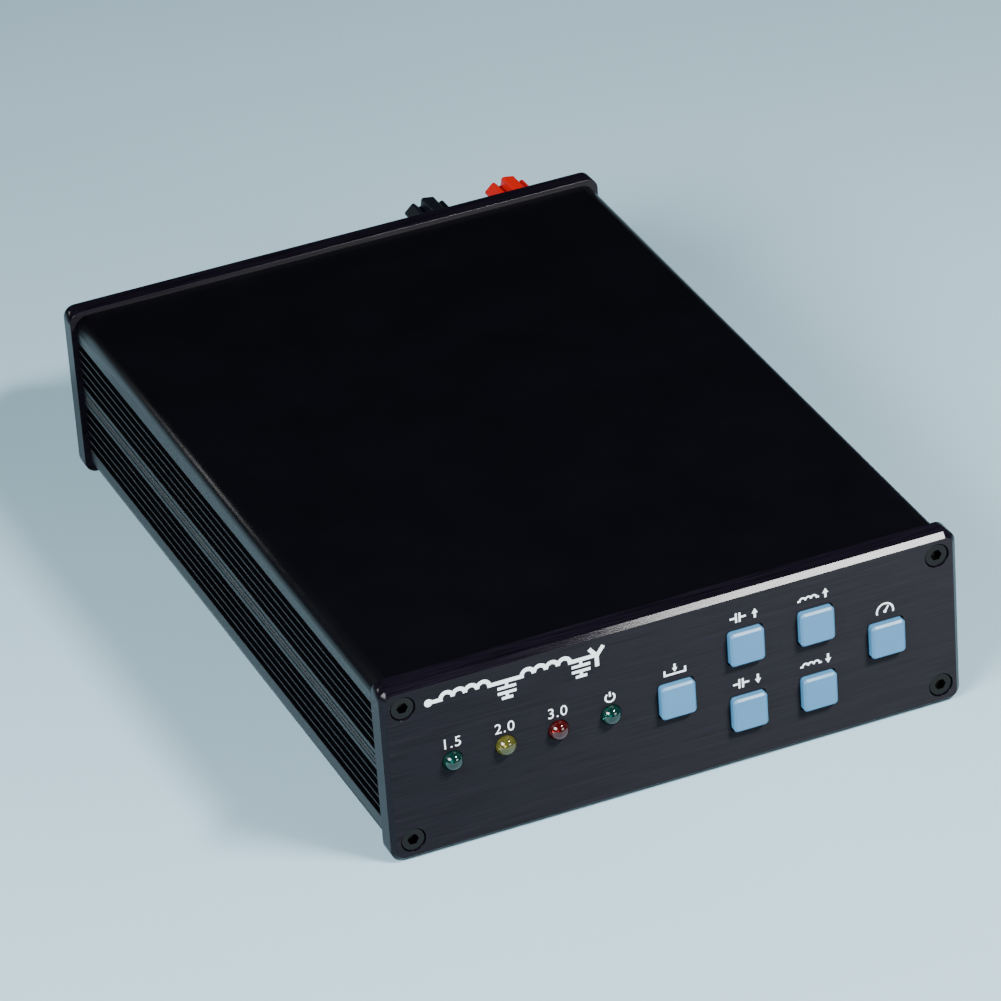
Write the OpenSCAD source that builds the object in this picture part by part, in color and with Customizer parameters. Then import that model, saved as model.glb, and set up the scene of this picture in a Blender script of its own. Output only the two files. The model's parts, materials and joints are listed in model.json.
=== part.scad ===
// Antenna tuner in a split-extrusion aluminium case.
// Millimetres, +Z up, front panel facing -Y. The origin is on the resting plane, under the
// middle of the object's full length, from the button faces to the ends of the terminal knobs.

/* [Case] */
// Width across the end plates
case_w = 145; // [144:0.5:150]
// Height of the end plates
case_h = 46; // [46:0.5:50]
// Length over both end plates
case_l = 208; // [204:1:240]
// Thickness of each end plate
plate_t = 6; // [5.5:0.1:6.5]
// Corner radius of the end plates
plate_r = 3; // [2:0.1:4]
// Chamfer round the outer face of each end plate
plate_chamfer = 1.2; // [0.6:0.1:1.5]
// Step from the edge of the end plates down to the extruded shells
shell_step = 1.25; // [0.8:0.05:1.5]
// Corner radius of the extruded shells
shell_r = 3.5; // [2.5:0.1:4]
// Wall thickness at the sides of the shells
side_wall = 3.4; // [3:0.1:3.6]
// Wall thickness of the shells' top and bottom
flat_wall = 2; // [1.6:0.1:2.4]

/* [Side grooves] */
// Grooves above the seam, and as many below it
groove_count = 5; // [3:1:5]
// Distance from one groove to the next
groove_pitch = 2.6; // [2.4:0.05:2.6]
// Thickness of the rib between two grooves
rib_t = 0.5; // [0.4:0.05:0.8]
// Depth of the grooves
groove_depth = 1.6; // [1:0.1:1.8]
// Half height of the plain band along the seam
band_half = 2.75; // [2.5:0.05:3]

/* [Buttons] */
// Side of a button's square face
button_w = 8.7; // [8:0.1:9]
// How far a button stands out of the front plate
button_proud = 1.8; // [1:0.1:2.5]
// Distance from one column of buttons to the next
button_pitch = 17.9; // [17.5:0.1:18]
// Distance of the upper and lower buttons from the middle row
button_rise = 8.9; // [8.6:0.1:9]
// Gap all round a button in its window
button_gap = 0.3; // [0.2:0.05:0.4]
// How far a button travels
button_travel = 0.5; // [0.3:0.05:0.5]

/* [Lamps] */
// Diameter of a lamp's lens
led_d = 5; // [4.8:0.1:5]
// Distance from one lamp to the next
led_pitch = 13.15; // [12:0.05:13.5]
// How far a lamp's dome stands out of the front plate
led_proud = 2.4; // [1.4:0.1:2.5]

/* [Terminals] */
// How far the terminal knobs reach behind the rear plate
post_reach = 20; // [19.5:0.1:24]
// Distance from a terminal knob's axis to the flat top of a lobe
knob_r = 6.8; // [6.4:0.1:7.2]
// Number of lobes on a terminal knob
knob_lobes = 7; // [5:1:7]
// Diameter of the hole for a test plug
banana_d = 4.1; // [4:0.05:4.2]
// Diameter over the thread of a coaxial socket
socket_d = 15.88; // [15.8:0.01:15.9]

/* [Hidden] */
$fn = 64;

// Places along Y of the outer faces of the end plates, with the whole length centred on y = 0
front_reach = max(button_proud, led_proud);
front_y = front_reach - (case_l + front_reach + post_reach) / 2;
rear_y = front_y + case_l;
mid_z = case_h / 2;
cut = 0.5;

// Extruded shells
shell_w = case_w - 2 * shell_step;
shell_h = case_h - 2 * shell_step;
shell_l = case_l - 2 * plate_t;
cavity_w = shell_w - 2 * side_wall;
cavity_z = shell_step + flat_wall;
port_r = 3.6;
port_hole_r = 1.5;
tongue_w = 1.2;
tongue_h = 1.4;
tongue_x = shell_w / 2 - side_wall / 2 - 0.05;
seam_gap = 0.1;
seam_bevel = 0.35;
line_w = 0.4;
line_at = 1.5;
ledge_reach = 2.85;
ledge_t = 1.5;

// M3 socket head screws that hold the end plates
screw_inset = 5.3;
screw_x = case_w / 2 - screw_inset;
screw_z = [screw_inset, case_h - screw_inset];
head_r = 2.75;
head_h = 3;
head_sink = 0.4;
head_room = 0.35;
hex_af = 2.5;
hex_depth = 1.5;
shank_r = 1.45;
shank_l = 12;

// Buttons: name, column from the left, and row above the middle
BUTTONS = [
    ["save", 0, 0], ["c_up", 1, 1], ["c_down", 1, -1],
    ["l_up", 2, 1], ["l_down", 2, -1], ["tune", 3, 0]
];
button_x0 = -0.3;
button_z0 = mid_z - 0.1;
button_r = 1;
button_bevel = 0.5;
window_w = button_w + 2 * button_gap;
cap_back = 8;
cap_wall = 1.1;
cap_post_r = 3;
cap_cavity = 4;
cap_flange = 1;
cap_flange_y = plate_t + 0.5;
cap_flange_t = 1.1;
stem_w = 3.8;
stem_front = 4.5;

// Tactile switches behind the buttons
switch_w = 12;
switch_front = 9;
switch_lip = 1.2;
switch_back = 13;
switch_floor = 0.7;
chamber_r = 4.2;
plunger_r = 3.4;
plunger_clear = 0.1;
plunger_flange_r = 3.9;
plunger_flange_t = 0.7;
plunger_back = 11.2;
dome_r = 3;
dome_top_r = 1.4;
dome_gap = 0.1;
pin_x = 5.4;
pin_z = 2.5;
pin_r = 0.45;

// Lamps: name, place in the row, colour
LEDS = [
    ["swr_1_5_led", 0, "darkgreen"], ["swr_2_0_led", 1, "olive"],
    ["swr_3_0_led", 2, "darkred"], ["power_led", 3, "darkgreen"]
];
led_x0 = -56.2;
led_z = mid_z + 0.5;
led_clear = 0.1;
led_flange_r = led_d / 2 + 0.4;
led_flange_t = 1;
led_flange_y = plate_t + 0.2;
lead_r = 0.25;
lead_gap = 1.27;

// Front circuit board, standing behind the front plate
board_t = 1.6;
front_board_y = switch_back;
front_board_w = 126;
front_board_h = 36;
board_back = front_board_y + board_t;
standoff_x = 59.5;
standoff_z = 14.5;
standoff_af = 5;
standoff_shank_r = 1.8;
standoff_shank_l = 2.5;
board_screw_r = 1.2;
board_screw_head_r = 2.2;
board_screw_head_h = 1.6;
board_screw_l = 6;

// Main circuit board, sliding in the shell's ledges
main_z = 10;
main_top = main_z + board_t;
main_w = 2 * (cavity_w / 2 - 0.85);
main_y0 = front_y + 22;
main_l = case_l - 32;
slot_clear = 0.1;

// Ribbon cable between the two boards
header_w = 20.3;
header_d = 9;
header_h = 9;
header_z = mid_z + 8.5;
header_y = 34;
ribbon_w = 12.7;
ribbon_t = 1;
ribbon_bend = 6;

// Toroids on the main board: x, place along the board, outer and inner diameter, height, turns
TOROIDS = [
    [-45, 24, 33, 19.8, 11, 18], [-45, 62, 33, 19.8, 11, 15], [-45, 96, 26.9, 14.5, 11, 12],
    [-45, 124, 20.2, 12.6, 6.4, 10], [-45, 146, 17.5, 9.4, 4.8, 8],
    [50, 146, 17.5, 9.4, 4.8, 7], [50, 124, 17.5, 9.4, 4.8, 6]
];
wire_t = 1.1;

// Relays in two rows, and the capacitors that they switch
relay_rows = [-19, 8];
relay_w = 7.5;
relay_l = 15;
relay_h = 10;
relay_y0 = 32;
relay_pitch = 18;
relays_in_row = 7;
capacitor_x = 24;
capacitor_w = 5;
capacitor_l = 12;
capacitor_h = 11;

// Coaxial sockets on the rear plate
SOCKETS = [-52, -20];
socket_z = mid_z;
socket_r = socket_d / 2;
socket_flange = 25.4;
socket_flange_t = 3;
socket_flange_r = 2;
socket_end = 16;
socket_bore_r = 6.2;
socket_boss_r = 6.6;
insulator_end = 9;
insulator_back = -9;
contact_r = 3;
contact_bore_r = 2;
contact_end = 15;
contact_bore_l = 12;
contact_rod_r = 1.6;
cup_r = 2.2;
cup_bore_r = 0.8;
cup_back = -14;
socket_screw_at = 9.15;
flat_head_r = 3;
flat_head_h = 1.5;

// Terminal posts on the rear plate
black_post_x = 34.5;
red_post_x = 57.2;
POSTS = [black_post_x, red_post_x];
post_z = mid_z + 8.5;
barrel_r = 3.5;
barrel_root = 0.5;
barrel_end = 18;
stud_r = 1.75;
stud_back = -18;
cross_hole_r = 1.1;
cross_hole_y = 6.9;
base_r = 7;
base_t = 4.5;
boss_r = 4.5;
boss_l = 5.8;
clamp_r = 5.5;
clamp_t = 1;
clamp_gap = 0.05;
thread_clear = 0.08;
knob_front = base_t + clamp_t + 2 * clamp_gap;
collar_t = 1.5;
collar_r = 6;
lobe_w = 3.8;
lobe_root = 3.9;
lobe_corner_r = 0.7;
lobe_turn = 81;
knob_end_wall = 1.6;
knob_mouth_r = 2.6;
knob_core_r = 4.9;
inner_washer_r = 6.5;
inner_washer_t = 1.5;
nut_af = 7;
nut_h = 3.2;
tag_r = 3.6;
tag_t = 0.8;
tag_y = -12.5;

// Power and control sockets on the rear plate
dc_x = 46.5;
dc_z = 16.5;
dc_bush_r = 4;
dc_flange_r = 5.5;
dc_flange_t = 1.5;
dc_bore_r = 2.9;
dc_pin_r = 1.05;
dc_depth = 8;
dc_back = -15;
control_x = 14;
control_z = 16;
control_bush_r = 3;
control_ring_r = 4.4;
control_ring_t = 2;
control_bore_r = 1.8;
control_depth = 14;
control_body_w = 8;
small_nut_t = 2;

// Stiff leads from the rear sockets and posts down to the main board
wire_r = 0.8;
wire_bend = 4;
wire_end = -22;

// ---- Shapes used by several parts ----

// A flat outline drawn in X and Z, pulled from y = 0 to y = length
module extrude_y(length) {
    translate([0, length, 0])
        rotate([90, 0, 0])
            linear_extrude(length)
                children();
}

// A round bar from y = start to y = end
module bar_y(radius, start, end) {
    translate([0, start, 0])
        rotate([-90, 0, 0])
            cylinder(r = radius, h = end - start);
}

// A hexagonal bar from y = start to y = end
module hex_y(across_flats, start, end) {
    translate([0, start, 0])
        rotate([-90, 0, 0])
            cylinder(r = across_flats / sqrt(3), h = end - start, $fn = 6);
}

module rounded_rect(width, height, radius) {
    square([width - 2 * radius, height], center = true);
    square([width, height - 2 * radius], center = true);
    for (x = [-1, 1], z = [-1, 1])
        translate([x * (width / 2 - radius), z * (height / 2 - radius)])
            circle(r = radius);
}

// A block with rounded corners and a chamfer round its face at y = 0, centred on X and Z
module faced_block(width, height, depth, radius, chamfer) {
    in_x = width / 2 - radius;
    in_z = height / 2 - radius;
    for (x = [-in_x, in_x], z = [-in_z, in_z])
        translate([x, 0, z])
            rotate([-90, 0, 0])
                rotate_extrude()
                    polygon([
                        [0, 0], [radius - chamfer, 0], [radius, chamfer],
                        [radius, depth], [0, depth]
                    ]);
    translate([-in_x, 0, 0])
        rotate([90, 0, 90])
            linear_extrude(2 * in_x)
                chamfered_section(height, depth, chamfer);
    translate([0, 0, in_z])
        rotate([0, 90, 0])
            rotate([90, 0, 90])
                linear_extrude(2 * in_z)
                    chamfered_section(width, depth, chamfer);
}

// Half-depth first, then width: the section of a faced block across one of its edges
module chamfered_section(width, depth, chamfer) {
    polygon([
        [0, chamfer - width / 2], [chamfer, -width / 2], [depth, -width / 2],
        [depth, width / 2], [chamfer, width / 2], [0, width / 2 - chamfer]
    ]);
}

module at_front(x = 0, z = 0) {
    translate([x, front_y, z])
        children();
}

module at_rear(x = 0, z = 0) {
    translate([x, rear_y, z])
        children();
}

module at_button(button) {
    at_front(button_x0 + button[1] * button_pitch, button_z0 + button[2] * button_rise)
        children();
}

module at_led(place) {
    at_front(led_x0 + place * led_pitch, led_z)
        children();
}

module at_main(x, y) {
    translate([x, main_y0 + y, main_top])
        children();
}

module at_plate_screws() {
    for (x = [-screw_x, screw_x], z = screw_z)
        translate([x, 0, z])
            children();
}

module at_socket_screws() {
    for (x = [-socket_screw_at, socket_screw_at], z = [-socket_screw_at, socket_screw_at])
        translate([x, 0, z])
            children();
}

// ---- Case ----

// Section of one extruded half, seen from the front, with its tongue on the left
module half_profile() {
    difference() {
        union() {
            difference() {
                translate([0, mid_z])
                    rounded_rect(shell_w, shell_h, shell_r);
                translate([-shell_w, mid_z])
                    square([2 * shell_w, shell_h]);
                translate([-cavity_w / 2, cavity_z])
                    square([cavity_w, shell_h]);
            }
            for (side = [-1, 1])
                translate([side * screw_x, screw_inset])
                    circle(r = port_r);
            for (side = [0, 1])
                mirror([side, 0])
                    board_ledges();
            translate([-tongue_x - tongue_w / 2, mid_z - seam_gap])
                square([tongue_w, tongue_h + seam_gap]);
        }
        for (side = [-1, 1])
            translate([side * screw_x, screw_inset])
                circle(r = port_hole_r);
        for (side = [0, 1])
            mirror([side, 0])
                side_cuts();
        translate([tongue_x - tongue_w / 2 - seam_gap, mid_z - tongue_h - seam_gap])
            square([tongue_w + 2 * seam_gap, shell_h]);
    }
}

// Two ledges on a side wall, with the slot for the main board between them
module board_ledges() {
    for (z = [main_z - slot_clear - ledge_t, main_top + slot_clear])
        translate([cavity_w / 2 - ledge_reach, z])
            square([ledge_reach + side_wall / 4, ledge_t]);
}

module side_cuts() {
    for (i = [0 : groove_count - 1])
        translate([shell_w / 2 - groove_depth, mid_z - band_half - (i + 1) * groove_pitch + rib_t])
            square([groove_depth + cut, groove_pitch - rib_t]);
    translate([shell_w / 2 - line_w, mid_z - line_at])
        square([line_w + cut, line_w]);
    translate([shell_w / 2, mid_z])
        polygon([[-seam_bevel, 0], [0, -seam_bevel], [cut, -seam_bevel], [cut, 0]]);
}

module lower_shell() {
    color("#1b1b20")
        translate([0, front_y + plate_t, 0])
            extrude_y(shell_l)
                half_profile();
}

// The upper half is the same extrusion turned over
module upper_shell() {
    color("#101014")
        translate([0, front_y + plate_t, case_h])
            rotate([0, 180, 0])
                extrude_y(shell_l)
                    half_profile();
}

module plate_blank() {
    translate([0, 0, mid_z])
        faced_block(case_w, case_h, plate_t, plate_r, plate_chamfer);
}

// Clearance holes and counterbores for the four corner screws
module plate_screw_holes() {
    at_plate_screws() {
        bar_y(port_hole_r + 0.1, -cut, plate_t + cut);
        bar_y(head_r + head_room, -cut, head_sink + head_h);
    }
}

module front_plate() {
    color("#23242c")
        difference() {
            at_front()
                plate_blank();
            at_front()
                plate_screw_holes();
            for (button = BUTTONS)
                at_button(button)
                    translate([0, -cut, 0])
                        extrude_y(plate_t + 2 * cut)
                            rounded_rect(window_w, window_w, button_r);
            for (led = LEDS)
                at_led(led[1])
                    bar_y(led_d / 2 + led_clear, -cut, plate_t + cut);
            at_front()
                at_standoffs()
                    bar_y(standoff_shank_r, plate_t - standoff_shank_l, plate_t + cut);
        }
}

module rear_plate() {
    color("#1d1e24")
        difference() {
            at_rear()
                mirror([0, 1, 0])
                    plate_blank();
            at_rear()
                mirror([0, 1, 0])
                    plate_screw_holes();
            for (x = SOCKETS)
                at_rear(x, socket_z) {
                    bar_y(socket_boss_r + 0.1, -plate_t - cut, cut);
                    at_socket_screws()
                        bar_y(port_hole_r, -plate_t - cut, cut);
                }
            for (x = POSTS)
                at_rear(x, post_z)
                    bar_y(boss_r + 0.1, -plate_t - cut, cut);
            at_rear(dc_x, dc_z)
                bar_y(dc_bush_r + 0.1, -plate_t - cut, cut);
            at_rear(control_x, control_z)
                bar_y(control_bush_r + 0.1, -plate_t - cut, cut);
        }
}

// Socket head screw whose head starts just under y = 0 and whose shank runs towards +Y
module plate_screw() {
    difference() {
        union() {
            bar_y(head_r, head_sink, head_sink + head_h);
            bar_y(shank_r, head_sink + head_h, head_sink + head_h + shank_l);
        }
        hex_y(hex_af, head_sink - cut, head_sink + hex_depth);
    }
}

module front_plate_screws() {
    color("#141416")
        at_front()
            at_plate_screws()
                plate_screw();
}

module rear_plate_screws() {
    color("#141416")
        at_rear()
            mirror([0, 1, 0])
                at_plate_screws()
                    plate_screw();
}

// ---- Buttons and switches ----

// Cap with a bevelled face, a hollow back, and a flange that keeps it behind the front plate
module button_cap() {
    color("#9fc0d8")
        difference() {
            union() {
                translate([0, -button_proud, 0])
                    faced_block(button_w, button_w, button_proud + cap_back, button_r, button_bevel);
                translate([0, cap_flange_y, 0])
                    extrude_y(cap_flange_t)
                        rounded_rect(
                            window_w + 2 * cap_flange, window_w + 2 * cap_flange, button_r
                        );
            }
            difference() {
                translate([0, cap_back - cap_cavity, 0])
                    extrude_y(cap_cavity + cut)
                        rounded_rect(button_w - 2 * cap_wall, button_w - 2 * cap_wall, button_r / 2);
                bar_y(cap_post_r, 0, cap_back);
            }
            translate([-stem_w / 2, stem_front, -stem_w / 2])
                cube([stem_w, cap_back, stem_w]);
        }
}

// Square stem in the cap, round barrel in the switch, and the flange that keeps it there
module switch_plunger() {
    color("#c8c2b4") {
        translate([-stem_w / 2, stem_front, -stem_w / 2])
            cube([stem_w, plunger_back - stem_front, stem_w]);
        bar_y(plunger_r, switch_front + 0.2, plunger_back);
        bar_y(plunger_flange_r, plunger_back - plunger_flange_t, plunger_back);
    }
}

module switch_body() {
    color("#26262a") {
        difference() {
            translate([-switch_w / 2, switch_front, -switch_w / 2])
                cube([switch_w, switch_back - switch_front, switch_w]);
            bar_y(plunger_r + plunger_clear, switch_front - cut, switch_back - switch_floor);
            bar_y(chamber_r, switch_front + switch_lip, switch_back - switch_floor);
        }
        for (x = [-pin_x, pin_x], z = [-pin_z, pin_z])
            translate([x, 0, z])
                bar_y(pin_r, switch_back - switch_floor / 2, board_back + 1.2);
    }
}

// Snap dome on the floor of each switch, its top just clear of the pressed plunger
module contact_domes() {
    dome_base = switch_back - switch_floor;
    dome_h = dome_base - plunger_back - button_travel - dome_gap;
    color("silver")
        for (button = BUTTONS)
            at_button(button)
                translate([0, dome_base, 0])
                    rotate([90, 0, 0])
                        cylinder(r1 = dome_r, r2 = dome_top_r, h = dome_h);
}

// ---- Lamps ----

module led_lens(lens_colour) {
    dome_y = led_d / 2 - led_proud;
    color(lens_colour, 0.7) {
        bar_y(led_d / 2, dome_y, led_flange_y + led_flange_t);
        translate([0, dome_y, 0])
            sphere(d = led_d);
        bar_y(led_flange_r, led_flange_y, led_flange_y + led_flange_t);
    }
}

module led_leads() {
    color("silver")
        for (led = LEDS, side = [-1, 1])
            at_led(led[1])
                translate([side * lead_gap, 0, 0])
                    bar_y(lead_r, led_flange_y + led_flange_t, board_back + 1.4);
}

// ---- Front circuit board ----

module at_standoffs() {
    for (x = [-standoff_x, standoff_x], z = [-standoff_z, standoff_z])
        translate([x, 0, mid_z + z])
            children();
}

module front_board() {
    color("#0d4a2a")
        difference() {
            at_front()
                translate([-front_board_w / 2, front_board_y, mid_z - front_board_h / 2])
                    cube([front_board_w, board_t, front_board_h]);
            at_front()
                at_standoffs()
                    bar_y(board_screw_r + 0.2, front_board_y - cut, board_back + cut);
            for (button = BUTTONS, x = [-pin_x, pin_x], z = [-pin_z, pin_z])
                at_button(button)
                    translate([x, 0, z])
                        bar_y(pin_r + 0.1, front_board_y - cut, board_back + cut);
            for (led = LEDS, side = [-1, 1])
                at_led(led[1])
                    translate([side * lead_gap, 0, 0])
                        bar_y(lead_r + 0.15, front_board_y - cut, board_back + cut);
        }
}

// Hexagonal spacers pressed into blind holes in the back of the front plate
module front_board_standoffs() {
    color("#c9a24b")
        at_front()
            at_standoffs()
                difference() {
                    union() {
                        hex_y(standoff_af, plate_t, front_board_y);
                        bar_y(standoff_shank_r, plate_t - standoff_shank_l, plate_t + cut);
                    }
                    bar_y(board_screw_r + 0.05, front_board_y - board_screw_l + board_t - cut,
                          front_board_y + cut);
                }
}

module front_board_screws() {
    color("silver")
        at_front()
            at_standoffs()
                difference() {
                    union() {
                        bar_y(board_screw_head_r, board_back, board_back + board_screw_head_h);
                        bar_y(board_screw_r, board_back - board_screw_l, board_back);
                    }
                    cross_recess(board_back + board_screw_head_h);
                }
}

// Cross-shaped recess in a screw head whose top is at y = top
module cross_recess(top) {
    for (turn = [0, 90])
        rotate([0, turn, 0])
            translate([-1.2, top - 0.8, -0.25])
                cube([2.4, 1.2, 0.5]);
}

// ---- Ribbon cable ----

// Out of the front board's header, round a quarter turn and down into the main board's header
module ribbon_cable() {
    out_y = board_back + header_d;
    turn_y = header_y - ribbon_bend;
    turn_z = header_z - ribbon_bend;
    color("#8c8f96")
        at_front()
            translate([-ribbon_w / 2, 0, 0]) {
                translate([0, out_y, header_z - ribbon_t / 2])
                    cube([ribbon_w, turn_y - out_y, ribbon_t]);
                translate([0, turn_y, turn_z])
                    rotate([90, 0, 90])
                        linear_extrude(ribbon_w)
                            quarter_ring(ribbon_bend - ribbon_t / 2, ribbon_bend + ribbon_t / 2);
                translate([0, header_y - ribbon_t / 2, main_top + header_h])
                    cube([ribbon_w, ribbon_t, turn_z - main_top - header_h]);
            }
}

module quarter_ring(inner, outer) {
    intersection() {
        difference() {
            circle(r = outer);
            circle(r = inner);
        }
        square(outer + 1);
    }
}

module ribbon_headers() {
    color("#1c1c1e")
        at_front() {
            translate([-header_w / 2, board_back, header_z - header_d / 2])
                cube([header_w, header_h, header_d]);
            translate([-header_w / 2, header_y - header_d / 2, main_top])
                cube([header_w, header_d, header_h]);
        }
}

// ---- Main board and what stands on it ----

module main_board() {
    color("#0d4a2a")
        translate([-main_w / 2, main_y0, main_z])
            cube([main_w, main_l, board_t]);
}

module inductor_cores() {
    color("#8f2a1e")
        for (t = TOROIDS)
            at_main(t[0], t[1])
                translate([0, 0, wire_t + 0.2])
                    difference() {
                        cylinder(d = t[2], h = t[4]);
                        translate([0, 0, -cut])
                            cylinder(d = t[3], h = t[4] + 2 * cut);
                    }
}

// One turn of flat wire round a core's section, lying in the plane of X and Z
module wire_turn(outer_d, inner_d, height) {
    gap = 0.05;
    section = (outer_d - inner_d) / 2;
    translate([inner_d / 2, wire_t / 2, 0])
        rotate([90, 0, 0])
            linear_extrude(wire_t)
                difference() {
                    translate([-wire_t, -wire_t])
                        square([section + 2 * wire_t, height + 2 * wire_t]);
                    translate([-gap, -gap])
                        square([section + 2 * gap, height + 2 * gap]);
                }
}

module inductor_windings() {
    color("#b8642c")
        for (t = TOROIDS)
            at_main(t[0], t[1])
                for (i = [0 : t[5] - 1])
                    rotate([0, 0, 20 + i * 320 / (t[5] - 1)])
                        translate([0, 0, wire_t + 0.2])
                            wire_turn(t[2], t[3], t[4]);
}

module relays() {
    color("#d8d6cc")
        for (x = relay_rows, i = [0 : relays_in_row - 1])
            at_main(x - relay_w / 2, relay_y0 + i * relay_pitch - relay_l / 2)
                cube([relay_w, relay_l, relay_h]);
}

// Dipped capacitors on two short leads beside the second row of relays
module matching_capacitors() {
    color("#7a3b1a")
        for (i = [0 : relays_in_row - 1])
            at_main(capacitor_x, relay_y0 + i * relay_pitch) {
                translate([0, 0, 2 + capacitor_h / 2])
                    rotate([90, 0, 90])
                        linear_extrude(capacitor_w, center = true)
                            rounded_rect(capacitor_l, capacitor_h, 2);
                for (side = [-1, 1])
                    translate([0, side * capacitor_l / 4, 0])
                        cylinder(r = 0.4, h = 3);
            }
}

module control_chips() {
    color("#1a1a1c") {
        at_main(44, 30)
            cube([14, 14, 1.8]);
        for (i = [0 : 3])
            at_main(44, 54 + i * 14)
                cube([10, 6, 1.8]);
        at_main(36, 8)
            cube([10, 4.5, 15]);
    }
}

module filter_capacitors() {
    color("#2c3350")
        for (x = [51, 60], y = [8, 19])
            at_main(x, y)
                cylinder(r = 4, h = 12);
}

// Two upright ferrite rings that sample the power passing between the coaxial sockets
module bridge_transformers() {
    color("#3c3c40")
        for (x = [-34, -4])
            at_main(x, 158)
                translate([0, 0, 6.5])
                    rotate([0, 90, 0])
                        difference() {
                            cylinder(r = 6.35, h = 4.8);
                            translate([0, 0, -cut])
                                cylinder(r = 3.8, h = 4.8 + 2 * cut);
                        }
}

// ---- Coaxial sockets ----

module socket_shell(x) {
    color("#b9bcc0")
        at_rear(x, socket_z)
            difference() {
                union() {
                    extrude_y(socket_flange_t)
                        rounded_rect(socket_flange, socket_flange, socket_flange_r);
                    bar_y(socket_r, 0, socket_end);
                    bar_y(socket_boss_r, -plate_t, cut);
                }
                bar_y(socket_bore_r, -plate_t - cut, socket_end + cut);
                at_socket_screws() {
                    bar_y(port_hole_r, -cut, socket_flange_t + cut);
                    flat_head(socket_flange_t, 0.05);
                }
                for (turn = [0 : 90 : 270])
                    rotate([0, turn, 0])
                        translate([-0.8, socket_end - 1, socket_bore_r - cut])
                            cube([1.6, 1 + cut, 3]);
            }
}

// Cone of a flush screw head, wide end at y = top
module flat_head(top, clear) {
    translate([0, top - flat_head_h, 0])
        rotate([-90, 0, 0])
            cylinder(r1 = flat_head_r - flat_head_h + clear, r2 = flat_head_r + clear,
                     h = flat_head_h);
}

module socket_insulators() {
    color("#e9e6dc")
        for (x = SOCKETS)
            at_rear(x, socket_z)
                difference() {
                    bar_y(socket_bore_r, insulator_back, insulator_end);
                    bar_y(contact_r, contact_end - contact_bore_l - 1, insulator_end + cut);
                    bar_y(contact_rod_r, insulator_back - cut, insulator_end);
                }
}

// Split receptacle at the front, rod through the insulator, and solder cup at the back
module socket_contacts() {
    color("#d0b46a")
        for (x = SOCKETS)
            at_rear(x, socket_z)
                difference() {
                    union() {
                        bar_y(contact_r, contact_end - contact_bore_l - 1, contact_end);
                        bar_y(contact_rod_r, insulator_back - cut, insulator_end);
                        bar_y(cup_r, cup_back, insulator_back);
                    }
                    bar_y(contact_bore_r, contact_end - contact_bore_l, contact_end + cut);
                    bar_y(cup_bore_r, cup_back - cut, cup_back + 4);
                    for (turn = [0, 90])
                        rotate([0, turn, 0])
                            translate([-0.2, insulator_end, -contact_r - cut])
                                cube([0.4, contact_end, 2 * contact_r + 2 * cut]);
                }
}

module socket_screws() {
    color("silver")
        for (x = SOCKETS)
            at_rear(x, socket_z)
                at_socket_screws()
                    difference() {
                        union() {
                            flat_head(socket_flange_t, 0);
                            bar_y(shank_r, -plate_t, socket_flange_t - flat_head_h / 2);
                        }
                        cross_recess(socket_flange_t);
                    }
}

// ---- Terminal posts ----

// Lobed knob, with one lobe near the top, a plug mouth in its end and a plain collar at its root
module post_knob(x, knob_colour) {
    lobe_l = knob_r - lobe_root;
    color(knob_colour)
        at_rear(x, post_z)
            difference() {
                union() {
                    bar_y(collar_r, knob_front, knob_front + collar_t);
                    translate([0, knob_front + collar_t, 0])
                        extrude_y(post_reach - knob_front - collar_t) {
                            circle(r = knob_core_r);
                            for (i = [0 : knob_lobes - 1])
                                rotate(lobe_turn + i * 360 / knob_lobes)
                                    translate([lobe_root + lobe_l / 2, 0])
                                        rounded_rect(lobe_l, lobe_w, lobe_corner_r);
                        }
                }
                bar_y(barrel_r + thread_clear, knob_front - cut, post_reach - knob_end_wall);
                bar_y(knob_mouth_r, knob_front, post_reach + cut);
            }
}

// Metal washer that rides in front of a knob and clamps a wire against the base
module post_washer(x) {
    color("#d9c27a")
        at_rear(x, post_z)
            difference() {
                bar_y(clamp_r, base_t + clamp_gap, base_t + clamp_gap + clamp_t);
                bar_y(barrel_r + thread_clear, base_t, base_t + clamp_t + 1);
            }
}

// Insulating base, whose boss lines the hole in the rear plate
module post_base(x, base_colour) {
    color(base_colour)
        at_rear(x, post_z)
            difference() {
                union() {
                    bar_y(base_r, 0, base_t - 1);
                    bar_y(base_r - 1, 0, base_t);
                    bar_y(boss_r, -boss_l, cut);
                }
                bar_y(stud_r, -boss_l - cut, base_t);
                bar_y(barrel_r, barrel_root, base_t + cut);
            }
}

// Threaded barrel with a plug hole and a cross hole, and the thinner stud inside the case
module post_studs() {
    color("#d9c27a")
        for (x = POSTS)
            at_rear(x, post_z)
                difference() {
                    union() {
                        bar_y(barrel_r, barrel_root, barrel_end);
                        bar_y(stud_r, stud_back, barrel_root + cut);
                    }
                    bar_y(banana_d / 2, base_t, barrel_end + cut);
                    translate([0, cross_hole_y, -barrel_r - cut])
                        cylinder(r = cross_hole_r, h = 2 * barrel_r + 2 * cut);
                }
}

module post_inner_washers() {
    color("#1c1c1e")
        for (x = POSTS)
            at_rear(x, post_z)
                difference() {
                    bar_y(inner_washer_r, -plate_t - inner_washer_t, -plate_t);
                    bar_y(stud_r, -plate_t - inner_washer_t - cut, -plate_t + cut);
                }
}

module post_nuts() {
    nut_back = -plate_t - inner_washer_t - nut_h;
    color("silver")
        for (x = POSTS)
            at_rear(x, post_z)
                difference() {
                    hex_y(nut_af, nut_back, nut_back + nut_h);
                    bar_y(stud_r, nut_back - cut, nut_back + nut_h + cut);
                }
}

// ---- Power and control sockets ----

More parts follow.
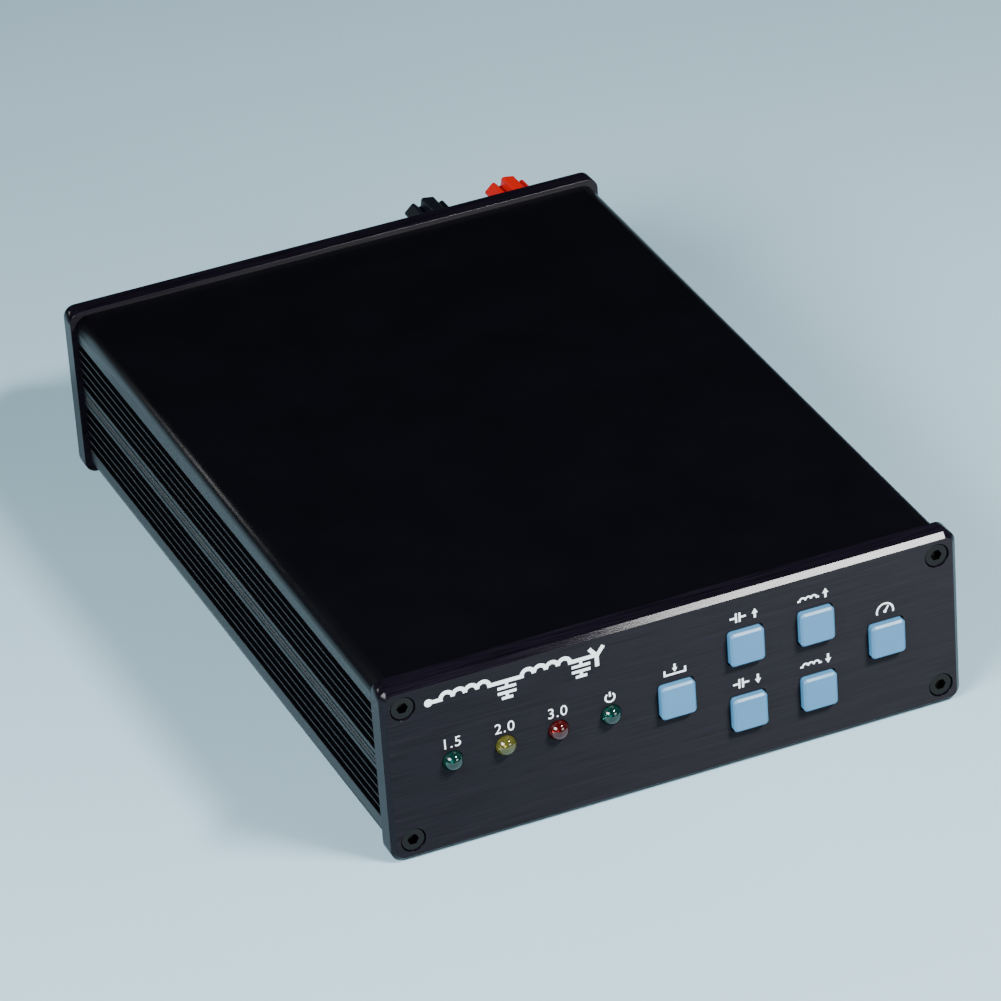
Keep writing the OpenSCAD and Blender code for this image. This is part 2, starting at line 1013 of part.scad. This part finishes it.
module dc_socket() {
    color("#202024")
        at_rear(dc_x, dc_z) {
            difference() {
                union() {
                    bar_y(dc_flange_r, 0, dc_flange_t);
                    bar_y(dc_bush_r, dc_back + 5, cut);
                    translate([-4.5, dc_back, -4.5])
                        cube([9, 5, 9]);
                }
                bar_y(dc_bore_r, dc_flange_t - dc_depth, dc_flange_t + cut);
            }
            bar_y(dc_pin_r, dc_flange_t - dc_depth - cut, dc_flange_t - 0.5);
            small_nut(dc_bush_r, 11);
        }
}

module control_socket() {
    color("#202024")
        at_rear(control_x, control_z) {
            difference() {
                union() {
                    bar_y(control_ring_r, 0, control_ring_t);
                    bar_y(control_bush_r, -plate_t - 3, cut);
                    translate([-control_body_w / 2, -plate_t - 11, -control_body_w / 2])
                        cube([control_body_w, 8, control_body_w]);
                }
                bar_y(control_bore_r, control_ring_t - control_depth, control_ring_t + cut);
            }
            small_nut(control_bush_r, 9);
        }
}

// Thin hexagonal nut on a socket's bush, against the inside of the rear plate
module small_nut(bush_r, across_flats) {
    difference() {
        hex_y(across_flats, -plate_t - small_nut_t, -plate_t);
        bar_y(bush_r, -plate_t - small_nut_t - cut, -plate_t + cut);
    }
}

// ---- Inner leads ----

// Bent leads from the coaxial sockets, and ring terminals with straight leads from the posts
module rf_leads() {
    bend_y = wire_end + wire_bend;
    color("#c77b3f") {
        for (x = SOCKETS)
            at_rear(x, socket_z) {
                bar_y(wire_r, bend_y, cup_back + 4);
                translate([0, bend_y, -wire_bend])
                    rotate([0, 90, 0])
                        rotate([0, 0, 180])
                            rotate_extrude(angle = 90)
                                translate([wire_bend, 0])
                                    circle(r = wire_r);
                translate([0, wire_end, main_top - socket_z])
                    cylinder(r = wire_r, h = socket_z - main_top - wire_bend);
            }
        for (x = POSTS)
            at_rear(x, post_z)
                difference() {
                    union() {
                        bar_y(tag_r, tag_y, tag_y + tag_t);
                        translate([0, tag_y + tag_t / 2, main_top - post_z])
                            cylinder(r = wire_r, h = post_z - main_top - stud_r - 0.5);
                    }
                    bar_y(stud_r, tag_y - cut, tag_y + tag_t + cut);
                }
    }
}

// ---- The object ----

upper_shell();
lower_shell();
front_plate();
rear_plate();
front_plate_screws();
rear_plate_screws();
for (button = BUTTONS) {
    at_button(button) button_cap();
    at_button(button) switch_plunger();
    at_button(button) switch_body();
}
contact_domes();
for (led = LEDS) {
    at_led(led[1]) led_lens(led[2]);
}
led_leads();
front_board();
front_board_standoffs();
front_board_screws();
ribbon_cable();
ribbon_headers();
main_board();
inductor_cores();
inductor_windings();
relays();
matching_capacitors();
control_chips();
filter_capacitors();
bridge_transformers();
socket_shell(SOCKETS[0]);  // rf_input_socket
socket_shell(SOCKETS[1]);  // rf_output_socket
socket_insulators();
socket_contacts();
socket_screws();
post_knob(red_post_x, "#c8140c");  // red_post_knob
post_knob(black_post_x, "#161618");  // black_post_knob
post_washer(red_post_x);  // red_post_washer
post_washer(black_post_x);  // black_post_washer
post_base(red_post_x, "#c8140c");  // red_post_base
post_base(black_post_x, "#161618");  // black_post_base
post_studs();
post_inner_washers();
post_nuts();
dc_socket();
control_socket();
rf_leads();
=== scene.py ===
"""Looks for the antenna tuner: finishes, panel print, lamp insides, floor, light and camera."""

import json
import math

import bmesh
import bpy
from mathutils import Euler, Matrix, Vector


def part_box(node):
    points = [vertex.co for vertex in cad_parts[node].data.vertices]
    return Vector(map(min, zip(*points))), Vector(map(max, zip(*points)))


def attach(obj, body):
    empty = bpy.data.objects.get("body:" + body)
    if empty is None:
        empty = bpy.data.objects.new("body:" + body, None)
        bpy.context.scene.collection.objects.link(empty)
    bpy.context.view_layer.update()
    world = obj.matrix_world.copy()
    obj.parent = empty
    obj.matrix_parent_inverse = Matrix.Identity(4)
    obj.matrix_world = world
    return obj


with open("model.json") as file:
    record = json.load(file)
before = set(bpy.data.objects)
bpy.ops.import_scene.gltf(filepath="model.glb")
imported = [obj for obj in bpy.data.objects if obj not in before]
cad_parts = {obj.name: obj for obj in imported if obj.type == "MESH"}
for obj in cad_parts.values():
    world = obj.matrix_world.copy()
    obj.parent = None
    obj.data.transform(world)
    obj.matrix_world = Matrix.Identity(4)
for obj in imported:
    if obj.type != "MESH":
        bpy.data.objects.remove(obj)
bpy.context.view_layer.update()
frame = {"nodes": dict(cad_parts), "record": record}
NODES = frame["nodes"]
MM = 0.001

PLATE_LOW, PLATE_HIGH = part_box("front_plate")
FACE_Y = PLATE_LOW.y
FRONT_FOOT = Vector((0, FACE_Y, 0))

# Widths of the rounding on sharp edges.
PLATE_EDGE = 0.15 * MM
SHELL_EDGE = 0.2 * MM

SCALE_NUMBERS = {"swr_1_5_led": "1.5", "swr_2_0_led": "2.0", "swr_3_0_led": "3.0"}
LAMPS = (*SCALE_NUMBERS, "power_led")


# ---- Materials: one principled shader each, with patterns in the object's own metres ----

WAVES_AT_SCALE_1 = 20 / (2 * math.pi)  # a metre, as the wave texture draws them
SCRATCHES = 4200  # a metre, counted across the brushing
DRAWN_OUT = 0.015  # scale along the brushing, against 1 across it


class Finish:
    """A principled material, with short calls that add procedural patterns to it."""

    def __init__(self, name, colour, roughness, metallic=0.0, **constants):
        self.material = bpy.data.materials.new(name)
        self.material.use_nodes = True
        self.tree = self.material.node_tree
        self.shader = self.tree.nodes["Principled BSDF"]
        self.place = self.add("ShaderNodeTexCoord").outputs["Object"]
        self.set("Base Color", (*colour, 1))
        self.set("Roughness", roughness)
        self.set("Metallic", metallic)
        for socket, value in constants.items():
            self.set(socket.replace("_", " "), value)

    def add(self, kind, **settings):
        node = self.tree.nodes.new(kind)
        for key, value in settings.items():
            setattr(node, key, value)
        return node

    def set(self, socket, value):
        self.shader.inputs[socket].default_value = value

    def link(self, start, end):
        self.tree.links.new(start, end)

    def scaled(self, stretch):
        mapping = self.add("ShaderNodeMapping")
        mapping.inputs["Scale"].default_value = stretch
        self.link(self.place, mapping.inputs["Vector"])
        return mapping.outputs["Vector"]

    def noise(self, per_metre, stretch=(1, 1, 1), detail=3.0):
        """A noise from 0 to 1, with so many lumps a metre, drawn out along an axis by a small stretch."""
        node = self.add("ShaderNodeTexNoise")
        node.inputs["Scale"].default_value = per_metre
        node.inputs["Detail"].default_value = detail
        self.link(self.scaled(stretch), node.inputs["Vector"])
        return node.outputs["Fac"]

    def cells(self, per_metre):
        node = self.add("ShaderNodeTexVoronoi")
        node.inputs["Scale"].default_value = per_metre
        self.link(self.place, node.inputs["Vector"])
        return node.outputs["Distance"]

    def bands(self, axis, per_metre):
        """Even ridges across an axis, such as a thread's crests or the turns of a winding."""
        node = self.add("ShaderNodeTexWave", bands_direction=axis)
        node.inputs["Scale"].default_value = per_metre / WAVES_AT_SCALE_1
        self.link(self.place, node.inputs["Vector"])
        return node.outputs["Fac"]

    def between(self, factor, low, high, start=0.3, end=0.7):
        """The factor's span from start to end, mapped onto low to high."""
        node = self.add("ShaderNodeMapRange")
        for socket, value in (("From Min", start), ("From Max", end), ("To Min", low), ("To Max", high)):
            node.inputs[socket].default_value = value
        self.link(factor, node.inputs["Value"])
        return node.outputs["Result"]

    def vary_roughness(self, factor, low, high):
        self.link(self.between(factor, low, high), self.shader.inputs["Roughness"])
        return self

    def vary_colour(self, factor, low, high, start=0.3, end=0.7):
        node = self.add("ShaderNodeMix", data_type="RGBA")
        node.inputs["A"].default_value = (*low, 1)
        node.inputs["B"].default_value = (*high, 1)
        self.link(self.between(factor, 0, 1, start, end), node.inputs["Factor"])
        self.link(node.outputs["Result"], self.shader.inputs["Base Color"])
        return self

    def bump(self, height, depth, strength=1.0):
        """Raises the surface by the height pattern, to a depth in metres, over any bump already there."""
        node = self.add("ShaderNodeBump")
        node.inputs["Strength"].default_value = strength
        node.inputs["Distance"].default_value = depth
        normal = self.shader.inputs["Normal"]
        if normal.is_linked:
            self.link(normal.links[0].from_socket, node.inputs["Normal"])
        self.link(height, node.inputs["Height"])
        self.link(node.outputs["Normal"], normal)
        return self


def grained(name, colour, roughness, grain=2500, depth=0.00001, spread=0.06, lift=1.25, **constants):
    """Moulded or blasted surface: fine grain, and a slow change of tone and gloss."""
    finish = Finish(name, colour, roughness, **constants)
    slow = finish.noise(60, detail=2)
    finish.vary_roughness(slow, roughness - spread, roughness + spread)
    finish.vary_colour(slow, colour, [min(1, c * lift) for c in colour])
    return finish.bump(finish.noise(grain), depth)


def brushed(name, colour, roughness, along, metallic=1.0, depth=0.000012, lift=1.5, **constants):
    """Metal with fine parallel scratches along one axis (0, 1 or 2)."""
    finish = Finish(name, colour, roughness, metallic, **constants)
    stretch = [1.0, 1.0, 1.0]
    stretch[along] = DRAWN_OUT
    streaks = finish.noise(SCRATCHES, stretch, detail=4)
    broad = finish.noise(500, stretch, detail=2)
    finish.vary_colour(streaks, colour, [min(1, c * lift) for c in colour])
    finish.vary_roughness(broad, roughness - 0.05, roughness + 0.07)
    return finish.bump(streaks, depth)


def threaded(name, colour, roughness, pitch):
    """Plated metal with a screw thread's ridges, one after another along Y."""
    ridge = 0.00012
    finish = brushed(name, colour, roughness, along=1, depth=0.000002, lift=1.15)
    return finish.bump(finish.bands("Y", 1 / pitch), ridge, 0.7)


def lens(name, colour):
    """Clear tinted epoxy, slightly cloudy."""
    finish = Finish(name, colour, 0.04, IOR=1.54, Transmission_Weight=0.6)
    haze = finish.noise(900, detail=2)
    finish.vary_roughness(haze, 0.02, 0.08)
    return finish.vary_colour(haze, colour, [c * 0.8 for c in colour])


def anodised_shell():
    """Black anodised extrusion: fine matt grain and faint draw lines along the case."""
    finish = grained("anodised_shell", (0.0012, 0.0012, 0.002), 0.30, grain=5200, depth=0.0000012,
                     spread=0.008, Specular_IOR_Level=0.3)
    draw = finish.noise(1300, (1, 0.01, 1), detail=3)
    return finish.bump(draw, 0.000001)


def anodised_plate():
    """Black anodised plate, brushed along X, so that each highlight is drawn out up and down.

    The chamfer and the rim are cut smoother than the flat face.
    """
    cut_roughness = 0.13
    face_roughness = 0.5
    finish = Finish("anodised_plate", (0.003, 0.003, 0.0045), face_roughness, Anisotropic=0.9,
                    Specular_IOR_Level=0.13)
    streaks = finish.noise(SCRATCHES, (DRAWN_OUT, 1, 1), detail=4)
    finish.vary_colour(streaks, (0.0006, 0.0004, 0.0014), (0.007, 0.0055, 0.010))
    finish.bump(streaks, 0.0000030)
    upright = finish.add("ShaderNodeCombineXYZ")
    upright.inputs["Z"].default_value = 1
    finish.link(upright.outputs["Vector"], finish.shader.inputs["Tangent"])
    facing = finish.add("ShaderNodeSeparateXYZ")
    finish.link(finish.add("ShaderNodeTexCoord").outputs["Normal"], facing.inputs["Vector"])
    flat_on = finish.add("ShaderNodeMath", operation="ABSOLUTE")
    finish.link(facing.outputs["Y"], flat_on.inputs[0])
    roughness = finish.between(flat_on.outputs["Value"], cut_roughness, face_roughness, 0.8, 0.95)
    finish.link(roughness, finish.shader.inputs["Roughness"])
    return finish


def circuit_board():
    """Green board, with patches of track under the coating."""
    finish = Finish("circuit_board", (0.01, 0.09, 0.03), 0.32)
    tracks = finish.cells(420)
    finish.vary_colour(tracks, (0.008, 0.07, 0.025), (0.02, 0.16, 0.05), 0.35, 0.45)
    finish.bump(tracks, 0.00003)
    return finish.vary_roughness(finish.noise(80), 0.25, 0.4)


def wound(name, colour, axis):
    """Enamelled wire laid in close turns, one after another along an axis."""
    turns = 1100
    ridge = 0.0003
    finish = Finish(name, colour, 0.28, 0.9)
    finish.vary_colour(finish.noise(300), colour, [c * 1.3 for c in colour])
    return finish.bump(finish.bands(axis, turns), ridge, 0.8)


FINISHES = {
    "anodised_shell": anodised_shell(),
    "anodised_plate": anodised_plate(),
    "black_screw": brushed("black_screw", (0.020, 0.017, 0.016), 0.24, along=1, lift=1.6),
    "button_cap": grained("button_cap", (0.055, 0.165, 0.29), 0.42, grain=5200, depth=0.000006, lift=1.06),
    "plunger": grained("plunger", (0.55, 0.52, 0.45), 0.45),
    "switch_case": grained("switch_case", (0.02, 0.02, 0.022), 0.42),
    "contact_metal": brushed("contact_metal", (0.72, 0.72, 0.70), 0.26, along=0),
    "green_lens": lens("green_lens", (0.002, 0.035, 0.027)),
    "yellow_lens": lens("yellow_lens", (0.115, 0.11, 0.018)),
    "red_lens": lens("red_lens", (0.075, 0.004, 0.004)),
    "circuit_board": circuit_board(),
    "brass": brushed("brass", (0.62, 0.44, 0.18), 0.3, along=1),
    "bright_steel": brushed("bright_steel", (0.60, 0.60, 0.60), 0.28, along=0),
    "ribbon": grained("ribbon", (0.30, 0.30, 0.31), 0.5),
    "header_plastic": grained("header_plastic", (0.015, 0.015, 0.016), 0.45),
    "powdered_iron": grained("powdered_iron", (0.35, 0.04, 0.03), 0.55, grain=1800, depth=0.00003),
    "copper_wire": wound("copper_wire", (0.62, 0.20, 0.08), "X"),
    "relay_case": grained("relay_case", (0.03, 0.08, 0.20), 0.38),
    "capacitor_dip": grained("capacitor_dip", (0.42, 0.16, 0.03), 0.35, lift=1.2),
    "chip_plastic": grained("chip_plastic", (0.018, 0.018, 0.018), 0.55, grain=3200),
    "capacitor_sleeve": grained("capacitor_sleeve", (0.015, 0.02, 0.06), 0.3),
    "ferrite": grained("ferrite", (0.05, 0.05, 0.052), 0.6, grain=1800, depth=0.00003),
    "nickel_plate": threaded("nickel_plate", (0.66, 0.63, 0.58), 0.24, 1.06 * MM),
    "ptfe": grained("ptfe", (0.80, 0.80, 0.78), 0.45),
    "gold_plate": brushed("gold_plate", (0.85, 0.60, 0.22), 0.22, along=1),
    "red_plastic": grained("red_plastic", (0.36, 0.004, 0.003), 0.40, grain=3000, depth=0.000005,
                           Specular_IOR_Level=0.2),
    "black_plastic": grained("black_plastic", (0.002, 0.003, 0.005), 0.45, grain=3000, depth=0.000005,
                             Specular_IOR_Level=0.25),
    "socket_plastic": grained("socket_plastic", (0.012, 0.012, 0.013), 0.4),
}


def soften_edges(obj, width, angle=35):
    """Joins the imported corners, then rounds the sharp edges so that they catch light."""
    weld = obj.modifiers.new("join", "WELD")
    weld.merge_threshold = 0.000002
    bevel = obj.modifiers.new("soft_edges", "BEVEL")
    bevel.width = width
    bevel.segments = 2
    bevel.limit_method = "ANGLE"
    bevel.angle_limit = math.radians(angle)
    bevel.harden_normals = True


def dress_nodes():
    """Gives every node of the frame the finish that its slot names."""
    for part in frame["record"]["subparts"]:
        obj = NODES[part["node"]]
        obj.data.materials.clear()
        obj.data.materials.append(FINISHES[part["material_slot"]].material)


# ---- Panel print, drawn in millimetres across the front face ----

FIRST_MARK = 0.02  # its height over the face
NEXT_MARK = 0.001  # how much higher each later one lies
LINE = 0.5
FINE_LINE = 0.46
ARROW_LINE = 0.55
EMBLEM_LINE = 1.0
NUMBER_SIZE = 3.8
ABOVE_BUTTON = 7.7
ABOVE_LAMP = 4.6


def arc(x, z, radius, start, end, steps=14):
    turns = [math.radians(start + (end - start) * i / steps) for i in range(steps + 1)]
    return [(x + radius * math.cos(t), z + radius * math.sin(t)) for t in turns]


class Print:
    """Flat marks on the front face, each a hair over the one before, so that none share a plane."""

    def __init__(self):
        self.mesh = bmesh.new()
        self.proud = FIRST_MARK

    def point(self, x, z):
        return self.mesh.verts.new(Vector((x * MM, FACE_Y - self.proud * MM, z * MM)))

    def patch(self, points):
        self.proud += NEXT_MARK
        self.mesh.faces.new([self.point(*p) for p in points])

    def dot(self, x, z, radius):
        self.patch(arc(x, z, radius, 0, 345, 23))

    def stroke(self, points, width):
        """A line of even width through the points, with mitred corners."""
        self.proud += NEXT_MARK
        pts = [Vector(p) for p in points]
        ways = [(b - a).normalized() for a, b in zip(pts, pts[1:])]
        sides = []
        for here, before, after in zip(pts, ways[:1] + ways, ways + ways[-1:]):
            way = (before + after).normalized()
            across = Vector((-way.y, way.x))
            reach = width / 2 / max(0.5, way.dot(before))
            sides.append([self.point(*(here + across * reach * side)) for side in (1, -1)])
        for a, b in zip(sides, sides[1:]):
            self.mesh.faces.new((a[0], a[1], b[1], b[0]))

    def arrow(self, x, z, length, way, width):
        """An upright arrow, way is 1 for up and -1 for down."""
        head = length * 0.5
        tip = z + way * length / 2
        self.stroke([(x, z - way * length / 2), (x, tip - way * head * 0.8)], width)
        self.patch([(x - head * 0.62, tip - way * head), (x + head * 0.62, tip - way * head), (x, tip)])

    def coil(self, x, z, radius, humps, lead, width):
        """A coil symbol: half circles in a row, with a lead at each end."""
        for i in range(humps):
            self.stroke(arc(x + (2 * i + 1 - humps) * radius, z, radius, 180, 0), width)
        for side in (-1, 1):
            end = x + side * humps * radius
            self.stroke([(end - side * width / 2, z), (end + side * lead, z)], width)

    def capacitor(self, x, z, height, gap, lead, width):
        """A capacitor symbol: two upright plates, with a lead each side."""
        for side in (-1, 1):
            plate = x + side * gap / 2
            self.stroke([(plate, z - height / 2), (plate, z + height / 2)], width)
            self.stroke([(plate, z), (plate + side * lead, z)], width)

    def hung_capacitor(self, x, top, width):
        """A capacitor to ground, hanging from a line."""
        for down, half in ((1.6, 2.3), (3.0, 2.3), (4.4, 1.4)):
            self.stroke([(x - half, top - down), (x + half, top - down)], width)
        for start, end in ((0, 1.6), (3.0, 4.4)):
            self.stroke([(x, top - start), (x, top - end)], width)

    def aerial(self, x, z, size, width):
        """An aerial symbol: a mast with two arms, its fork at z."""
        self.stroke([(x, z - size), (x, z)], width)
        for side in (-1, 1):
            self.stroke([(x, z - width / 2), (x + side * size * 0.8, z + size * 0.8)], width)


def save_icon(ink, x, z):
    """A tray with an arrow into it."""
    ink.stroke([(x - 2.6, z + 0.2), (x - 2.6, z - 1.1), (x + 2.6, z - 1.1), (x + 2.6, z + 0.2)], LINE)
    ink.arrow(x, z + 0.45, 2.1, -1, ARROW_LINE)


def capacitor_icon(ink, x, z, way):
    """A capacitor with an arrow beside it, way is 1 for up and -1 for down."""
    ink.capacitor(x - 1.5, z, 2.5, 0.9, 1.6, LINE)
    ink.arrow(x + 2.8, z, 2.5, way, ARROW_LINE)


def coil_icon(ink, x, z, way):
    """A coil with an arrow beside it, way is 1 for up and -1 for down."""
    ink.coil(x - 1.5, z - 0.5, 0.72, 3, 0.6, FINE_LINE)
    ink.arrow(x + 2.9, z, 2.5, way, ARROW_LINE)


def tune_icon(ink, x, z):
    """A dial's scale with its needle."""
    hub = z - 0.7
    ink.stroke(arc(x, hub, 2.1, 195, -15, 20), FINE_LINE)
    ink.stroke([(x, hub), (x + 0.85, hub + 1.35)], FINE_LINE)
    ink.dot(x, hub, 0.42)


def power_icon(ink, x, z):
    """A ring open at the top, with a stroke in the gap."""
    ink.stroke(arc(x, z, 1.15, 125, 415, 20), FINE_LINE)
    ink.stroke([(x, z + 0.2), (x, z + 1.5)], 0.48)


def emblem(ink, left, z):
    """A tuner's own circuit as a line drawing: coils in line, capacitors to ground, an aerial."""
    width = EMBLEM_LINE
    ink.dot(left + 1.0, z, 1.0)
    ink.coil(left + 10.0, z, 1.5, 4, 3.2, width)
    ink.stroke([(left + 18, z), (left + 22.4, z)], width)
    ink.hung_capacitor(left + 20.2, z, width * 0.75)
    ink.coil(left + 30.0, z, 1.5, 4, 1.8, width)
    ink.stroke([(left + 37.5, z), (left + 42.6, z), (left + 42.6, z - 3.0)], width)
    ink.hung_capacitor(left + 38.6, z, width * 0.75)
    ink.aerial(left + 42.6, z + 0.3, 2.2, width)


def centre_of(node):
    """Where a node's middle lies on the front face, across and up, in millimetres."""
    low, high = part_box(node)
    return (low.x + high.x) / 2 / MM, (low.z + high.z) / 2 / MM


def finish_piece(name, mesh_data, finish, body="case"):
    """Makes an object of a mesh, gives it a finish and lets it ride on a body."""
    obj = bpy.data.objects.new(name, mesh_data)
    bpy.context.scene.collection.objects.link(obj)
    obj.data.materials.clear()
    obj.data.materials.append(finish.material)
    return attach(obj, body)


def bmesh_piece(name, mesh, finish, body="case"):
    """Makes a piece of a bmesh, with its faces turned outwards."""
    data = bpy.data.meshes.new(name)
    bmesh.ops.recalc_face_normals(mesh, faces=mesh.faces)
    mesh.to_mesh(data)
    mesh.free()
    return finish_piece(name, data, finish, body)


def panel_print():
    """Icons over the buttons and the power lamp, the emblem, and numbers over the other lamps."""
    white = grained("panel_ink", (0.86, 0.87, 0.88), 0.5, grain=3000, depth=0.000003, lift=1.05)
    ink = Print()
    icons = {
        "save_button": save_icon,
        "c_up_button": lambda *at: capacitor_icon(*at, 1),
        "c_down_button": lambda *at: capacitor_icon(*at, -1),
        "l_up_button": lambda *at: coil_icon(*at, 1),
        "l_down_button": lambda *at: coil_icon(*at, -1),
        "tune_button": tune_icon,
    }
    for node, icon in icons.items():
        x, z = centre_of(node)
        icon(ink, x, z + ABOVE_BUTTON)
    x, z = centre_of("power_led")
    power_icon(ink, x, z + ABOVE_LAMP)
    emblem(ink, PLATE_LOW.x / MM + 10.5, PLATE_HIGH.z / MM - 5.6)
    bmesh_piece("panel_icons", ink.mesh, white)
    for node, number in SCALE_NUMBERS.items():
        x, z = centre_of(node)
        scale_number(f"scale_{node}", number, x, z + ABOVE_LAMP, white)


def scale_number(name, text, x, z, ink):
    """A number of the lamp scale, centred on x and z on the front face."""
    font = bpy.data.curves.new(name, "FONT")
    font.body = text
    font.size = NUMBER_SIZE * MM
    font.align_x = "CENTER"
    font.align_y = "CENTER"
    font.space_character = 1.12
    writer = bpy.data.objects.new("writer", font)
    bpy.context.scene.collection.objects.link(writer)
    bpy.context.view_layer.update()
    data = bpy.data.meshes.new_from_object(writer)
    bpy.data.objects.remove(writer)
    data.name = name
    place = Matrix.Translation((x * MM, FACE_Y - FIRST_MARK * MM, z * MM))
    data.transform(place @ Euler((math.pi / 2, 0, 0)).to_matrix().to_4x4())
    finish_piece(name, data, ink)


# ---- Lamp insides ----

def turned(mesh, centre, profile, steps=20):
    """A surface turned round a line along Y, from (radius, y) pairs in millimetres."""
    rings = []
    for radius, y in profile:
        ring = []
        for i in range(steps):
            turn = 2 * math.pi * i / steps
            offset = Vector((radius * math.cos(turn), y, radius * math.sin(turn))) * MM
            ring.append(mesh.verts.new(centre + offset))
        rings.append(ring)
    for a, b in zip(rings, rings[1:]):
        for i in range(steps):
            j = (i + 1) % steps
            mesh.faces.new((a[i], a[j], b[j], b[i]))
    mesh.faces.new(rings[-1])


def lamp_insides():
    """The cup that holds the chip, and the post beside it, seen through each lens."""
    cup_x = -0.45 * MM
    cup = [(0.5, 3.4), (0.95, 2.9), (1.0, 3.0), (0.9, 4.6), (0.4, 6.2)]
    post_x = 1.3 * MM
    post = [(0.05, 3.1), (0.35, 3.3), (0.35, 6.2)]
    mesh = bmesh.new()
    for node in LAMPS:
        low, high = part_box(node)
        tip = Vector(((low.x + high.x) / 2, low.y, (low.z + high.z) / 2))
        turned(mesh, tip + Vector((cup_x, 0, 0)), cup)
        turned(mesh, tip + Vector((post_x, 0, 0)), post)
    bmesh_piece("lamp_frames", mesh, FINISHES["contact_metal"])


# ---- Floor, light and camera ----

def floor():
    """A wide sheet of plain paper that the case stands on."""
    reach = 3.0
    mesh = bmesh.new()
    bmesh.ops.create_grid(mesh, x_segments=2, y_segments=2, size=reach)
    data = bpy.data.meshes.new("floor")
    mesh.to_mesh(data)
    mesh.free()
    obj = bpy.data.objects.new("floor", data)
    bpy.context.scene.collection.objects.link(obj)
    paper = Finish("floor_paper", (0.35, 0.53, 0.62), 0.6)
    paper.vary_roughness(paper.noise(12), 0.55, 0.65)
    data.materials.append(paper.material)


def soft_light(name, place, size, power, colour=(1, 1, 1)):
    """A panel of light at a place, aimed at the foot of the front plate."""
    light = bpy.data.lights.new(name, "AREA")
    light.shape = "RECTANGLE"
    light.size, light.size_y = size
    light.energy = power
    light.color = colour
    obj = bpy.data.objects.new(name, light)
    obj.location = place
    obj.rotation_euler = (Vector(place) - FRONT_FOOT).to_track_quat("Z", "Y").to_euler()
    bpy.context.scene.collection.objects.link(obj)


def studio():
    """A dim room, a small key light over the front, and fills that draw the glints along the case."""
    world = bpy.data.worlds.new("studio")
    world.use_nodes = True
    world.node_tree.nodes["Background"].inputs["Color"].default_value = (0.010, 0.011, 0.014, 1)
    bpy.context.scene.world = world
    soft_light("key", (0.360, -0.510, 0.650), (0.24, 0.08), 14)
    soft_light("front_fill", (0.45, -0.85, 0.34), (0.45, 0.25), 3.4, (0.85, 0.95, 1.0))
    soft_light("left_fill", (-0.65, -0.45, 0.55), (0.5, 0.35), 18, (0.95, 0.98, 1.0))
    soft_light("right_fill", (1.2, -0.2, 0.7), (0.6, 0.5), 0.2)
    soft_light("rear_fill", (-0.85, 1.25, 0.52), (0.25, 0.2), 1.2)


def camera():
    """A long lens from the left of the front and above, aimed up and to the left of the front foot."""
    azimuth = math.radians(-21.433)
    elevation = math.radians(30.580)
    roll = math.radians(-4.198)
    distance = 1.4538
    aim_left = 42.07
    aim_up = 64.81
    flat = math.cos(elevation)
    back = Vector((math.sin(azimuth) * flat, -math.cos(azimuth) * flat, math.sin(elevation)))
    level = Vector((0, 0, 1)).cross(back).normalized()
    upright = back.cross(level)
    right = level * math.cos(roll) + upright * math.sin(roll)
    up = upright * math.cos(roll) - level * math.sin(roll)
    aim = FRONT_FOOT - right * aim_left * MM + up * aim_up * MM
    data = bpy.data.cameras.new("camera")
    data.sensor_width = 36
    data.lens = 226.0
    data.clip_end = 20
    obj = bpy.data.objects.new("camera", data)
    turn = Matrix((right, up, back)).transposed().to_4x4()
    obj.matrix_world = Matrix.Translation(aim + back * distance) @ turn
    bpy.context.scene.collection.objects.link(obj)
    bpy.context.scene.camera = obj


dress_nodes()
for plate in ("front_plate", "rear_plate"):
    soften_edges(NODES[plate], PLATE_EDGE)
for shell in ("upper_shell", "lower_shell"):
    soften_edges(NODES[shell], SHELL_EDGE)
panel_print()
lamp_insides()
floor()
studio()
camera()
